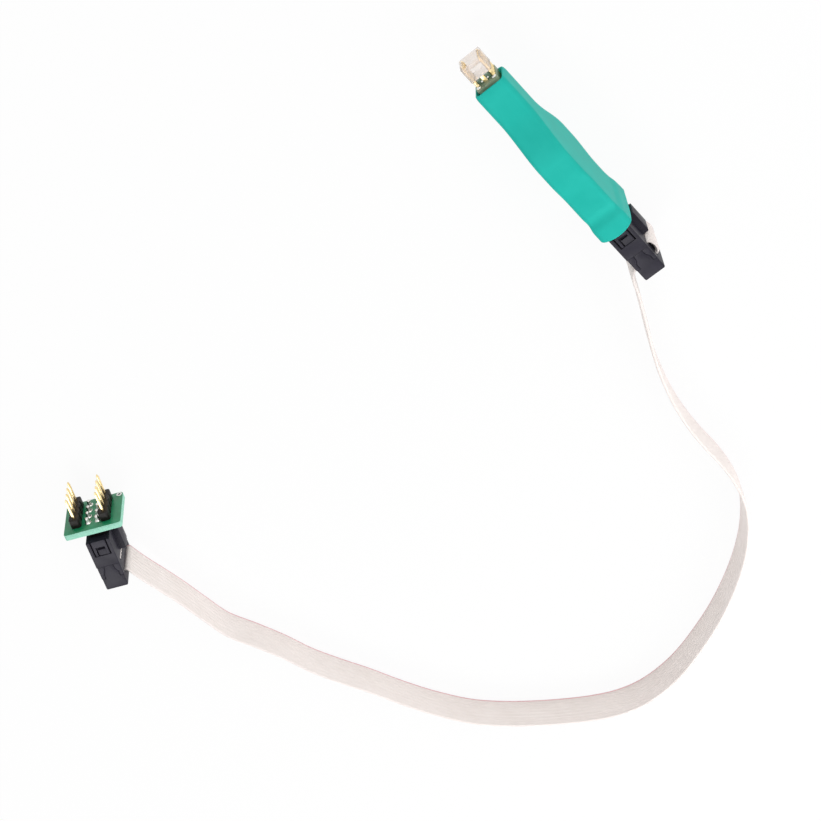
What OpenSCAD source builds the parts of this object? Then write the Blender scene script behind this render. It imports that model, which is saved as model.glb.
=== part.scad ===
// Chip programming probe: a moulded grip with eight spring contacts in its nose, a ribbon lead
// with a crimped socket at each end, and a plug-in adapter with two rows of pins.
// Millimetres. The grip lies on its back edge at z = 0, +X points to the nose and +Z is up.

/* [Grip] */
// Length of the grip, nose rim to rear rim
grip_l = 45.7; // [45:0.1:60]
// Wall of the two grip shells
wall = 0.9; // [0.8:0.05:1.2]
// Half depth of the grip at its belly, which it lies on
belly_half = 9.4; // [9.2:0.1:10.5]
// Half depth of the finger dip on the back edge
dip_half = 7.5; // [6.5:0.1:8.5]
// Length of the slim nose before the belly
neck_l = 8.6; // [8:0.2:10]
// Depth of the groove across the front face
groove_depth = 0.7; // [0.3:0.1:1]
// Swell of the rear rim
rim_swell = 1.9; // [0:0.1:2]
// Height of the raised band round the rear rim
rim_bead = 0.3; // [0:0.05:0.5]
// Corner radius of the grip at its belly
belly_round = 1.1; // [1:0.1:2.4]
// Corner radius of the grip at its rear rim
rim_round = 1.1; // [1:0.1:1.8]
// Corner radius of the grip at its nose
nose_round = 1.5; // [1.2:0.1:2]
// Depth of the nose in front of the axis
nose_half = 5.5; // [5:0.1:5.8]
// Depth of the nose behind the axis
nose_back = 3.5; // [3.5:0.1:4.4]
// Wall of the shells at the nose rim
nose_lip = 0.35; // [0.3:0.05:0.6]
// Round-over outside the nose rim
nose_edge = 0.2; // [0.1:0.05:0.5]
// Distance over which the nose rim thins
nose_lip_l = 1.4; // [1:0.1:2]
// How far the nose rim leans forward at its front edge
nose_slant = 0.7; // [0:0.1:1]
// Clearance between pieces that seat in the shells
seat_gap = 0.05; // [0.02:0.01:0.1]

/* [Nose] */
// Pitch of the spring contacts in a row
contact_pitch = 1.27; // [1.27:0.01:1.4]
// Distance between the two rows of contacts
row_gap = 4.4; // [4.4:0.05:4.8]
// Outer diameter of a contact barrel
barrel_d = 1; // [0.9:0.02:1.06]
// Wall of a contact barrel
barrel_wall = 0.1; // [0.08:0.01:0.12]
// Length of a contact barrel
barrel_l = 13; // [12:0.5:15]
// Diameter of a plunger
plunger_d = 0.66; // [0.6:0.01:0.68]
// Radial running clearance of a plunger
run_gap = 0.03; // [0.02:0.01:0.05]
// Working travel of a plunger
plunger_travel = 1.5; // [1:0.1:2]
// Length of the clear block that guides the plungers
block_l = 4; // [3.8:0.1:5]
// Length of the chip body that the pocket takes
chip_l = 4.9; // [4.8:0.05:5]
// Width of the chip body that the pocket takes
chip_w = 3.9; // [3.8:0.05:4]
// Clearance of the chip in its pocket, each side
chip_gap = 0.05; // [0.03:0.01:0.1]
// Depth of the chip pocket
pocket_depth = 1.2; // [0.8:0.1:1.5]
// Wall of the clear block around the pocket and contacts
block_wall = 0.25; // [0.2:0.05:0.5]
// Thickness of the small board behind the barrels
tail_t = 0.8; // [0.6:0.1:1]
// Thickness of the base board in the nose rim
base_t = 1.6; // [1.2:0.1:2]
// How far the base board stands out of the nose rim
base_out = 1.3; // [1:0.1:1.5]
// Gap between the base board and the front of the shells' cavity
base_gap = 0.35; // [0.2:0.05:0.5]
// Gap between the base board and the clear block
block_lift = 1.6; // [1.2:0.1:2.5]

/* [Boards and headers] */
// Thickness of the long inner board
board_t = 1; // [0.8:0.05:1.6]
// Thickness of the adapter board
adapter_t = 1.6; // [1.4:0.05:1.7]
// Half width of the long inner board
board_half = 4.6; // [4.5:0.1:5]
// Pitch of the headers, sockets and adapter pins
pitch = 2.54; // [2.54:0.01:2.6]
// Height of the low header under the adapter board
low_header_h = 2; // [1.8:0.1:2.5]
// Side of a square header pin
pin_side = 0.64; // [0.6:0.01:0.66]
// How far a header pin reaches into a socket
pin_reach = 6; // [5:0.1:6.5]
// Length of a header pin's tail on its board
pin_tail = 3; // [2:0.1:3.5]

/* [Crimped socket] */
// Height of a socket, mating face to strain relief
socket_h = 15.1; // [14.9:0.1:16]
// Width of a socket
socket_w = 6.1; // [6:0.05:6.3]
// Length of a socket along its row of contacts
socket_l = 15; // [14.8:0.1:15.4]
// Clearance of the socket in the grip's rear opening
socket_gap = 0.15; // [0.1:0.01:0.2]
// Height of the socket's body below the ribbon
body_h = 7.9; // [7.7:0.1:8]
// Height of the cover between ribbon and strain relief
cover_h = 2.9; // [2.6:0.1:3.2]
// Width of the cover
cover_w = 5.9; // [5.7:0.05:6]
// Width of the strain relief
relief_w = 5.7; // [5.4:0.05:5.8]
// Radius along the strain relief's outer edges
relief_round = 0.4; // [0.2:0.1:0.8]
// Width of the latch tongue in the body's end faces, over its grooves
latch_w = 4.4; // [4:0.1:4.8]
// Length of the latch tongue from the mating face
latch_l = 4.5; // [4:0.1:4.8]
// Width of the grooves beside the latch tongue
latch_groove = 0.4; // [0.3:0.05:0.5]
// Length of the latch window
window_l = 2.6; // [2.4:0.1:3]
// Width of the latch window
window_w = 2.4; // [2.2:0.1:2.8]
// Depth of the latch window
window_depth = 0.8; // [0.5:0.1:1]
// Width of the polarising key
key_w = 4.4; // [4:0.1:4.6]
// Height of the polarising key
key_h = 1.6; // [1.2:0.05:1.7]
// Distance from the mating face to the key's cable end
key_l = 7.6; // [7:0.1:7.7]
// Radius of the key's cable end
key_round = 0.5; // [0.3:0.1:0.7]
// Thickness of a clip leg on the strain relief
clip_t = 0.8; // [0.6:0.05:0.9]
// Width of a clip leg at its tip
clip_tip_w = 2.3; // [2:0.1:2.8]
// Width of a clip leg at the strain relief
clip_root_w = 3.8; // [3.2:0.1:5]
// Thickness of a socket contact
contact_t = 0.2; // [0.15:0.01:0.25]

/* [Ribbon] */
// Number of conductors in the ribbon
ways = 8; // [8]
// Pitch of the conductors
way_pitch = 1.27; // [1.27]
// Thickness of the ribbon
ribbon_t = 0.9; // [0.8:0.05:0.95]
// How far the ribbon's loose fold stands out of the probe's socket
fold_out = 1.4; // [1.2:0.1:2.4]
// How far the ribbon's tight fold stands out of the adapter's socket
tight_out = 0.3; // [0.2:0.1:0.6]
// Depth of the recess that the tight fold lies in
tight_in = 0.9; // [0.8:0.1:1.2]

/* [Adapter] */
// Width of the adapter board
adapter_w = 14.9; // [14.5:0.1:16]
// Height of the adapter board
adapter_h = 13.1; // [12.5:0.1:14]
// Sideways shift of the board from the pins' middle
adapter_side = -0.3; // [-0.5:0.1:0.5]
// Upward shift of the board from the pins' middle
adapter_lift = 0.5; // [0:0.1:1]
// Sideways shift of the socket from the pins' middle
socket_side = -0.4; // [-0.5:0.1:0.5]
// Distance between the two rows of adapter pins
dip_gap = 7.62; // [7.62:0.01:7.7]
// Length of an adapter pin above its strip
dip_reach = 5.7; // [5:0.1:6.5]
// Corner radius of the adapter board
adapter_round = 0.8; // [0.4:0.1:1.2]
// Angle of the adapter on the table
adapter_turn = -24.5; // [-30:0.5:-20]

/* [Hidden] */
$fn = 48;
slots = 4;
contacts = 2 * slots;
eps = 0.01;
touch = 0.3;

// Rear end of the first socket, which the lead leaves
socket_end_x = -34.25;
socket_top_x = socket_end_x + socket_h;
axis_z = belly_half;

// Ribbon and the slots it runs through
ribbon_half = ways * way_pitch / 2;
slot_half = ribbon_half + 0.1;
cover_x = -body_h - ribbon_t;
relief_x = cover_x - cover_h - ribbon_t;
exit_x = relief_x + ribbon_t / 2;

// Grip outline, measured from the nose rim
grip_w = socket_w + 2 * (socket_gap + wall);
rear_half = socket_l / 2 + socket_gap + wall;
rim_in = -0.2;
rear_x = socket_top_x - rim_in;
nose_x = rear_x + grip_l;
block_w = row_gap + plunger_d + 2 * (run_gap + block_wall);
block_d = chip_l + 2 * (chip_gap + block_wall);
tail_w = grip_w - 2 * (wall + seat_gap);
base_w = grip_w - 2 * (wall + base_gap);
nose_d = nose_half + nose_back - 2 * wall;
nose_lift = (nose_half - nose_back) / 2;
board_round = nose_round - wall;
tongue_half = (slots - 1) * contact_pitch / 2 + barrel_d / 2;
groove_s = grip_l - 5.2;
groove_l = 2.5;
front_line = [[0, nose_half], [neck_l, nose_half], [neck_l + 13.4, belly_half - 0.1],
    [neck_l + 17.4, belly_half], [grip_l - 13.2, rear_half], [groove_s - groove_l, rear_half],
    [groove_s, rear_half - groove_depth], [groove_s + groove_l, rear_half], [grip_l, rear_half]];
back_line = [[0, nose_back], [neck_l + 2.8, nose_back], [neck_l + 15.4, belly_half],
    [neck_l + 18.8, belly_half], [grip_l - 10.7, dip_half], [grip_l - 7.7, dip_half],
    [grip_l - 3.2, rear_half], [grip_l - 0.8, belly_half - rim_bead], [grip_l, belly_half - rim_bead]];
round_line = [[0, nose_round], [neck_l, nose_round], [neck_l + 13.4, belly_round],
    [grip_l - 7.7, belly_round], [grip_l, rim_round]];
// Front of the polarising key, which stops short of the swollen rim
key_x = -rim_in - socket_gap - rim_swell * (1 - 0.5 * pow(1 - 2 * wall / grip_w, 2));
grip_rings = 30;
lip_steps = 3;
stations = concat([for (j = [0:lip_steps - 1]) nose_lip_l * j / lip_steps],
    [for (j = [0:grip_rings]) nose_lip_l + (grip_l - nose_lip_l) * j / grip_rings]);
corner_points = 6;

// Places along the nose
base_x = nose_x + base_out;
block_x = base_x + block_lift;
tip_x = block_x + block_l;
barrel_front_x = block_x;
barrel_back_x = barrel_front_x - barrel_l;
tail_x = barrel_back_x + 1;
bore_d = barrel_d - 2 * barrel_wall;
piston_d = bore_d - 2 * run_gap;
piston_l = 1.2;
lip_l = 0.4;
piston_x = barrel_front_x - lip_l;

// Rear header, seated against the first socket
header_rear_x = socket_top_x + 0.2;
header_front_x = header_rear_x + pitch;
header_l = slots * pitch;
header_w = 2 * pitch;
// Posts that line the two shells up: [x, height from the axis]
post_d = 2.6;
post_pin_d = 1.3;
post_pin_l = 2;
post_z = belly_half - wall - 1.4;
posts = [[nose_x - neck_l - 14.4, post_z], [nose_x - neck_l - 14.4, -post_z],
    [rear_x + 4.25, -post_z + 0.4]];
// Pads that clamp the inner board: [x, height from the axis]
board_pads = [for (x = [rear_x + 12, nose_x - neck_l - 9.4], z = [-2.6, 2.6]) [x, z]];

// Adapter, standing on its socket's end
adapter_at = [0.5, 149.4, socket_l / 2];
socket_mate_x = -adapter_t - low_header_h - 0.1;
strip_h = 2.5;

// Route of the ribbon's middle line along the table, chosen by hand from the probe to the adapter
ribbon_route = [
    [-33, 5.2, 9.4], [-35, 6.1, 9.3], [-38.5, 7.4, 9.1], [-42, 9, 8.8], [-46, 10.8, 8.4],
    [-52, 13.6, 7.6], [-58, 16.2, 6.8], [-65, 18.6, 6], [-72.5, 20.6, 5.4], [-80, 21.8, 5.1],
    [-87, 22.2, 5.1], [-93.5, 22.2, 5.1], [-100, 22.8, 5.1], [-106, 24.2, 5.1], [-111.5, 26.6, 5.1],
    [-117, 30.4, 5.1], [-122, 35, 5.1], [-127, 40.8, 5.1], [-131.5, 47.2, 5.1], [-135.5, 54, 5.1],
    [-139, 61.5, 5.1], [-142, 69.5, 5.1], [-143.5, 77, 5.1], [-143.6, 84, 5.1], [-142, 90.5, 5.1],
    [-139, 96.5, 5.1], [-135, 102.5, 5.1], [-130, 109, 5.1], [-124, 115.8, 5.1], [-117, 122, 5.1],
    [-108, 127.4, 5.1], [-99, 131.6, 5.1], [-90, 135.2, 5.1], [-82, 138.8, 5.1], [-74, 142, 5.1],
    [-66, 144.2, 5.1], [-58, 147, 5.1], [-50, 150, 5.2], [-42, 150.8, 5.4], [-34, 151.2, 5.9],
    [-27, 151.7, 6.6], [-21.5, 152.1, 7.3], [-17.8, 152.3, 7.6]];

plungers = [for (i = [1:contacts]) str("plunger_", i)];
springs = [for (i = [1:contacts]) str("plunger_spring_", i)];

// Smooth line through [station, value] pairs, level at each pair and held beyond the ends
function knot(line, s, i = 0) = i >= len(line) - 2 || s <= line[i + 1][0] ? i : knot(line, s, i + 1);
function ease(t) = t <= 0 ? 0 : t >= 1 ? 1 : t * t * (3 - 2 * t);
function along(line, s) = let (i = knot(line, s), a = line[i], b = line[i + 1])
    a[1] + (b[1] - a[1]) * ease((s - a[0]) / (b[0] - a[0]));

// Rounded rectangle across the grip at station s, drawn in by inset
function corner(cy, cz, r, turn) = [for (k = [0:corner_points - 1])
    let (a = turn + 90 * k / (corner_points - 1)) [cy + r * cos(a), cz + r * sin(a)]];
function section(s, inset) =
    let (half = grip_w / 2 - inset, front = along(front_line, s) - inset, back = along(back_line, s) - inset,
        r = max(along(round_line, s) - inset, 0.3), cy = half - r)
    concat(corner(cy, front - r, r, 0), corner(-cy, front - r, r, 90),
        corner(-cy, -back + r, r, 180), corner(cy, -back + r, r, 270));
function swell(s, p) = rim_swell * ease((s - grip_l + 6) / 6)
    * (1 - 0.5 * pow(p[0] * 2 / grip_w, 2) - 0.5 * pow(max(p[1], 0) / rear_half, 2));
function lean(s, p) = nose_slant * p[1] / nose_half * max(1 - s / neck_l, 0);

// Side faces of a stack of rings with n points each, with both ends closed
function stack_faces(rings, n) = concat([[for (k = [n - 1:-1:0]) k]],
    [[for (k = [0:n - 1]) (rings - 1) * n + k]],
    [for (j = [0:rings - 2], k = [0:n - 1]) let (a = j * n, b = a + n, next = (k + 1) % n)
        [a + k, a + next, b + next, b + k]]);

// Share of the way to the nose rim inside the stretch where the rim thins
function lip_share(s) = pow(1 - min(max(s, 0) / nose_lip_l, 1), 2);

// Skin of the grip through a list of stations; the outside has a bead and a swell at its rear rim
module grip_loft(list, inset, lip_inset, outside) {
    n = 4 * corner_points;
    points = [for (s = list) let (bead = outside ? rim_bead * ease((s - groove_s) / groove_l) : 0)
        for (p = section(s, inset + (lip_inset - inset) * lip_share(s) - bead))
            [nose_x - s + lean(s, p) - (outside ? swell(s, p) : 0), p[0], axis_z + p[1]]];
    polyhedron(points, stack_faces(len(list), n), convexity = 6);
}

// One half of the hollow grip: side is 1 on the left and -1 on the right
module grip_half(side) {
    reach = 40;
    mouth = [socket_w + 2 * socket_gap, socket_l + 2 * socket_gap];
    difference() {
        grip_loft(stations, 0, nose_edge, true);
        grip_loft(concat([-1], stations, [grip_l + 4]), wall, nose_edge + nose_lip, false);
        translate([rear_x - reach, -mouth[0] / 2, axis_z - mouth[1] / 2])
            cube([reach + rim_in + socket_gap, mouth[0], mouth[1]]);
        translate([nose_x - grip_l - reach / 2, side > 0 ? -reach : 0, -1])
            cube([grip_l + reach, reach, 2 * reach]);
    }
}

// Box from a shell's wall inwards to the distance y from the middle plane
module wall_pad(side, x, z, size_x, size_z, y) {
    depth = grip_w / 2 - wall + touch - y;
    translate([x, side > 0 ? y : -y - depth, axis_z + z - size_z / 2]) cube([size_x, depth, size_z]);
}

module shell_seats(side) {
    pad = 2;
    for (p = board_pads) wall_pad(side, p[0] - pad / 2, p[1], pad, pad, board_t / 2 + seat_gap);
    wall_pad(side, header_rear_x, 0, pitch, header_l - pitch, header_w / 2 + seat_gap);
    wall_pad(side, header_front_x + seat_gap, 0, 0.8, header_l - pitch, pitch / 2 + pin_side / 2 + 0.2);
    for (z = [nose_half - wall - 0.5, -nose_back + wall + 0.5])
        wall_pad(side, base_x - base_t - seat_gap - 2, z, 2, 0.8, row_gap / 2 + barrel_d / 2 + seat_gap);
}

module post(side, p, d, y0, y1) {
    translate([p[0], side > 0 ? y0 : -y1, axis_z + p[1]]) rotate([-90, 0, 0]) cylinder(d = d, h = y1 - y0);
}

module grip_shell_left() {
    color([0.18, 0.74, 0.69]) union() {
        grip_half(1);
        shell_seats(1);
        for (p = posts) {
            post(1, p, post_d, 0, grip_w / 2 - wall + touch);
            post(-1, p, post_pin_d, -touch, post_pin_l);
        }
    }
}

module grip_shell_right() {
    color([0.18, 0.74, 0.69]) difference() {
        union() {
            grip_half(-1);
            shell_seats(-1);
            for (p = posts) post(-1, p, post_d, 0, grip_w / 2 - wall + touch);
        }
        for (p = posts) post(-1, p, post_pin_d + 2 * seat_gap, -eps, post_pin_l + 0.2);
    }
}

// Place of contact i: two rows across Y with four contacts along Z in each
function contact_y(i) = (i < slots ? 1 : -1) * row_gap / 2;
function contact_z(i) = axis_z + (i % slots - (slots - 1) / 2) * contact_pitch;

module rod_x(x0, x1, d) {
    translate([x0, 0, 0]) rotate([0, 90, 0]) cylinder(d = d, h = x1 - x0);
}

module at_contact(i) {
    translate([0, contact_y(i), contact_z(i)]) children();
}

// Rectangle with round corners, centred
module round_rect(w, h, r) {
    square([w, h - 2 * r], center = true);
    square([w - 2 * r, h], center = true);
    for (x = [-1, 1], y = [-1, 1]) translate([x * (w / 2 - r), y * (h / 2 - r)]) circle(r = r);
}

// Plate across the nose with a hole for every barrel and a slot for the long board's tongue;
// it is cut back at its front by front_gap
module barrel_plate(x, t, w, front_gap) {
    slot = [t + 2, board_t + 2 * seat_gap, 2 * (tongue_half + seat_gap)];
    d = nose_d - seat_gap - front_gap;
    difference() {
        translate([x, 0, axis_z + nose_lift + (seat_gap - front_gap) / 2]) rotate([90, 0, 90])
            linear_extrude(t) round_rect(w, d, board_round);
        for (i = [0:contacts - 1]) at_contact(i) rod_x(x - 1, x + t + 1, barrel_d);
        translate([x - 1, -slot[1] / 2, axis_z - slot[2] / 2]) cube(slot);
    }
}

module nose_block() {
    pocket = [chip_w + 2 * chip_gap, chip_l + 2 * chip_gap];
    bevel = 0.4;
    color([0.96, 0.92, 0.88, 0.5]) difference() {
        translate([block_x, 0, axis_z]) rotate([90, 0, 90]) linear_extrude(block_l)
            round_rect(block_w, block_d, bevel);
        translate([tip_x - pocket_depth, -pocket[0] / 2, axis_z - pocket[1] / 2])
            cube([pocket_depth + 1, pocket[0], pocket[1]]);
        for (i = [0:contacts - 1]) at_contact(i) rod_x(block_x - 1, tip_x + 1, plunger_d + 2 * run_gap);
    }
}

// Green blocks that stand between the barrels and the long board's tongue, under the clear block
module nose_plate() {
    w = row_gap / 2 - barrel_d / 2 - seat_gap - board_t / 2;
    h = tongue_half - 0.1;
    color([0.1, 0.4, 0.25]) for (side = [-1, 1])
        translate([base_x, side > 0 ? board_t / 2 : -board_t / 2 - w, axis_z - h])
            cube([block_lift, w, 2 * h]);
}

module nose_base() {
    color([0.45, 0.47, 0.33]) barrel_plate(base_x - base_t, base_t, base_w, base_gap);
}

// Two blobs beside the outer barrels and two fillets where the tongue meets the green blocks
module nose_solder() {
    color([0.85, 0.84, 0.8]) for (side = [-1, 1]) {
        translate([base_x, side * (row_gap / 2 + 0.1), axis_z + tongue_half + 0.45])
            rotate([0, 90, 0]) cylinder(d1 = 0.8, d2 = 0.4, h = 0.3);
        translate([base_x + 0.4, side * (board_t / 2 + 0.3), axis_z + tongue_half - 0.1])
            cylinder(d1 = 0.6, d2 = 0.2, h = 0.2);
    }
}

module contact_barrels() {
    color([0.85, 0.68, 0.3]) for (i = [0:contacts - 1]) at_contact(i) difference() {
        rod_x(barrel_back_x, barrel_front_x, barrel_d);
        rod_x(barrel_back_x + lip_l, barrel_front_x - lip_l, bore_d);
        rod_x(barrel_front_x - lip_l - eps, barrel_front_x + 1, plunger_d + 2 * run_gap);
    }
}

// Plunger with a cone tip level with the block's end and a piston held behind the barrel's lip
module plunger(i) {
    cone_l = 0.5;
    color([0.9, 0.75, 0.4]) at_contact(i) union() {
        rod_x(piston_x - piston_l, piston_x - seat_gap, piston_d);
        rod_x(piston_x - seat_gap - eps, tip_x - cone_l, plunger_d);
        translate([tip_x - cone_l, 0, 0]) rotate([0, 90, 0]) cylinder(d1 = plunger_d, d2 = 0.2, h = cone_l);
    }
}

// Coil spring behind the piston, drawn as a ribbed sleeve of the coil's own size
module plunger_spring(i) {
    turns = 14;
    wire = 0.1;
    outer = bore_d / 2 - run_gap;
    start = barrel_back_x + lip_l;
    coil_l = piston_x - piston_l - start;
    step = coil_l / turns;
    color("silver") at_contact(i) translate([start, 0, 0]) rotate([0, 90, 0]) rotate_extrude()
        polygon(concat([[outer - 2 * wire, 0]],
            [for (k = [0:turns - 1]) each [[outer - wire, k * step], [outer, (k + 0.5) * step]]],
            [[outer - wire, coil_l], [outer - 2 * wire, coil_l]]));
}

module tail_board() {
    color([0.1, 0.45, 0.28]) barrel_plate(tail_x - tail_t, tail_t, tail_w, seat_gap);
}

// Long board on edge between the header's two rows of tails, with a tongue up to the clear block
module probe_board() {
    slim = nose_back - wall - 2 * seat_gap;
    shoulder_x = tail_x - tail_t;
    wide_x = nose_x - neck_l - 8.4;
    color([0.1, 0.45, 0.28]) translate([0, board_t / 2, axis_z]) rotate([90, 0, 0]) linear_extrude(board_t)
        polygon([[header_front_x, -board_half], [wide_x, -board_half], [wide_x + 3, -slim],
            [shoulder_x, -slim], [shoulder_x, -tongue_half], [block_x, -tongue_half], [block_x, tongue_half],
            [shoulder_x, tongue_half], [shoulder_x, slim], [wide_x + 3, slim], [wide_x, board_half],
            [header_front_x, board_half]]);
}

// Runs its children at each pin of a two-row header, rows along Y and slots along Z
module at_pins() {
    for (row = [-1, 1], k = [0:slots - 1])
        translate([0, row * pitch / 2, (k - (slots - 1) / 2) * pitch]) children();
}

module square_pin(x0, x1, side) {
    translate([x0, -side / 2, -side / 2]) cube([x1 - x0, side, side]);
}

// Header strip of one or two rows: its rear face is at x = 0, with notched corners at each pin
module header_strip(rows, h) {
    notch = 0.7;
    difference() {
        translate([0, -rows * pitch / 2, -header_l / 2]) cube([h, rows * pitch, header_l]);
        for (k = [0:slots - 1], row = [0:rows - 1])
            translate([0, (row - (rows - 1) / 2) * pitch, (k - (slots - 1) / 2) * pitch])
                square_pin(-1, h + 1, pin_side);
        for (k = [0:slots], edge = [-1, 1]) translate([-1, edge * rows * pitch / 2, (k - slots / 2) * pitch])
            rotate([0, 90, 0]) cylinder(d = notch, h = h + 2, $fn = 4);
    }
}

module probe_header() {
    color([0.08, 0.08, 0.09]) translate([header_rear_x, 0, axis_z]) header_strip(2, pitch);
}

module probe_header_pins() {
    color([0.85, 0.68, 0.3]) translate([0, 0, axis_z]) at_pins()
        square_pin(header_rear_x - pin_reach, header_front_x + pin_tail, pin_side);
}

module probe_header_solder() {
    gap = pitch / 2 - pin_side / 2 - board_t / 2;
    color([0.8, 0.8, 0.8]) translate([header_front_x + 1, 0, axis_z]) for (row = [-1, 1], k = [0:slots - 1])
        translate([0, row > 0 ? board_t / 2 : -board_t / 2 - gap, (k - (slots - 1) / 2) * pitch - 0.5])
            cube([pin_tail - 1, gap, 1]);
}

// Crimped socket. In its own frame the mating face is at x = 0, the contacts lie along Z
// and the key is at -Y.
module socket_body() {
    cavity = pin_side + 0.2;
    color([0.13, 0.13, 0.15]) difference() {
        union() {
            translate([-body_h, -socket_w / 2, -socket_l / 2]) cube([body_h, socket_w, socket_l]);
            translate([0, -socket_w / 2, -key_w / 2]) linear_extrude(key_w) key_outline();
        }
        at_pins() translate([-body_h - 1, -cavity / 2, -cavity / 2])
            cube([body_h + 2, cavity + contact_t, cavity]);
        for (end = [-1, 1]) latch_cuts(end);
    }
}

// Cuts in one end face: a groove each side of the latch tongue, a fine line across its root,
// and a window in the tongue that a raised tab partly fills
module latch_cuts(end) {
    line = 0.2;
    slit_l = 0.9;
    slit_w = 0.3;
    tab = [window_l - slit_l, window_w - slit_w, window_depth - line];
    face = socket_l / 2;
    mirror([0, 0, end > 0 ? 0 : 1]) {
        for (side = [-1, 1]) translate([-latch_l, side * (latch_w - latch_groove) / 2 - latch_groove / 2,
            face - window_depth]) cube([latch_l + 1, latch_groove, window_depth + 1]);
        translate([-latch_l - line / 2, -latch_w / 2, face - line]) cube([line, latch_w, 1]);
        difference() {
            translate([-latch_l, -window_w / 2, face - window_depth])
                cube([window_l, window_w, window_depth + 1]);
            translate([-latch_l - eps, -window_w / 2 - eps, face - window_depth - eps])
                cube(tab);
        }
    }
}

// Polarising key seen along the contacts, with a round corner at its cable end
module key_outline() {
    translate([-key_l + key_round, -key_h]) square([key_l - key_round + key_x, key_h + eps]);
    translate([-key_l, -key_h + key_round]) square([key_round + eps, key_h - key_round + eps]);
    translate([-key_l + key_round, -key_h + key_round]) circle(r = key_round);
}

// Each contact runs beside its pin from the mating side to the ribbon's face
module socket_contacts() {
    color([0.8, 0.7, 0.4]) at_pins()
        translate([-body_h, pin_side / 2 + run_gap, -pin_side / 2]) cube([body_h - 1, contact_t, pin_side]);
}

// Cover that presses the ribbon onto the contacts, cut back at its ends for the clip legs
// and by recess on the side of the fold
module socket_cover(side, recess) {
    cover_end_x = cover_x - cover_h;
    color([0.13, 0.13, 0.15]) difference() {
        translate([cover_end_x, -cover_w / 2, -socket_l / 2])
            cube([-body_h - cover_end_x, cover_w, socket_l]);
        translate([cover_x, -socket_w, -slot_half]) cube([ribbon_t + 1, 2 * socket_w, 2 * slot_half]);
        if (recess > 0) translate([cover_end_x - 1, side > 0 ? cover_w / 2 - recess : -socket_w, -slot_half])
            cube([cover_h + 2, socket_w - cover_w / 2 + recess, 2 * slot_half]);
        for (end = [-1, 1]) clip_leg(end, seat_gap);
    }
}

// Tapered leg on a socket's end face, from the strain relief to the body, grown by room
module clip_leg(end, room) {
    tip = clip_tip_w / 2 + room;
    root = clip_root_w / 2 + room;
    t = clip_t + room;
    bend = [-body_h - 1.2, -body_h - 1.8, -body_h - 2.4];
    mid = (tip + root) / 2;
    translate([0, 0, end > 0 ? socket_l / 2 - t : -socket_l / 2]) linear_extrude(t)
        polygon([[-body_h, -tip], [-body_h, tip], [bend[0], tip + 0.1], [bend[1], mid], [bend[2], root],
            [relief_x - eps, root], [relief_x - eps, -root], [bend[2], -root], [bend[1], -mid],
            [bend[0], -tip - 0.1]]);
}

// Strain relief seen along the contacts, with round corners at its cable end
module relief_outline() {
    w = relief_w / 2;
    straight = socket_h - relief_round + relief_x + ribbon_t;
    translate([-socket_h + relief_round, -w]) square([straight, relief_w]);
    translate([-socket_h, -w + relief_round]) square([relief_round + eps, relief_w - 2 * relief_round]);
    for (y = [-1, 1]) translate([-socket_h + relief_round, y * (w - relief_round)]) circle(r = relief_round);
}

// Strain relief: a bar across the socket's end with a leg at each end
module strain_relief() {
    color([0.13, 0.13, 0.15]) union() {
        difference() {
            translate([0, 0, -socket_l / 2]) linear_extrude(socket_l) relief_outline();
            translate([relief_x, -socket_w, -slot_half]) cube([ribbon_t + 1, 2 * socket_w, 2 * slot_half]);
        }
        for (end = [-1, 1]) clip_leg(end, 0);
    }
}

// Ribbon inside a socket: through the crimp, round a fold on one side and back under the relief;
// the fold starts at the depth start inside the cover's face and stands out of it by out
module ribbon_fold(side, start, out) {
    mid = (-body_h + relief_x) / 2;
    outer = (-body_h - relief_x) / 2;
    inner = outer - ribbon_t;
    bulge = start + out;
    edge = side * (cover_w / 2 - start);
    crimp_end = -side * cover_w / 2;
    exit_end = -side * relief_w / 2;
    arc = [for (a = [-90:15:90]) [mid + outer * sin(a), edge + side * bulge * cos(a)]];
    hollow = [for (a = [90:-15:-90]) [mid + inner * sin(a), edge + side * (bulge - ribbon_t) * cos(a)]];
    color([0.9, 0.88, 0.87]) translate([0, 0, -ribbon_half]) linear_extrude(2 * ribbon_half)
        polygon(concat([[relief_x, exit_end]], arc, [[-body_h, crimp_end], [cover_x, crimp_end]], hollow,
            [[relief_x + ribbon_t, exit_end]]));
}

module on_probe() {
    translate([socket_top_x, 0, axis_z]) children();
}

module on_adapter() {
    translate(adapter_at) rotate([0, 0, adapter_turn]) children();
}

module on_adapter_socket() {
    on_adapter() translate([socket_mate_x, socket_side, 0]) children();
}

module adapter_board() {
    color([0.1, 0.5, 0.32]) on_adapter() difference() {
        translate([-adapter_t, adapter_side, adapter_lift]) rotate([90, 0, 90]) linear_extrude(adapter_t)
            round_rect(adapter_w, adapter_h, adapter_round);
        translate([0, socket_side, 0]) at_pins() square_pin(-adapter_t - 1, 1, pin_side);
        for (side = [-1, 1]) at_strip(side) square_pin(-adapter_t - 1, 1, pin_side);
    }
}

// Runs its children at each of the four adapter pins on one side
module at_strip(side) {
    for (k = [0:slots - 1]) translate([0, side * dip_gap / 2, (k - (slots - 1) / 2) * pitch]) children();
}

module adapter_header() {
    color([0.08, 0.08, 0.09]) on_adapter() translate([-adapter_t - low_header_h, socket_side, 0])
        header_strip(2, low_header_h);
}

module adapter_header_pins() {
    color([0.85, 0.68, 0.3]) on_adapter() translate([0, socket_side, 0]) at_pins()
        square_pin(-adapter_t - low_header_h - pin_reach, 1.4, pin_side);
}

// Cone of solder round a square pin on a board's face, standing out along X
module solder_cone(dir) {
    difference() {
        rotate([0, dir * 90, 0]) cylinder(d1 = 1.5, d2 = 0.95, h = 0.8);
        square_pin(-2, 2, pin_side);
    }
}

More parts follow.
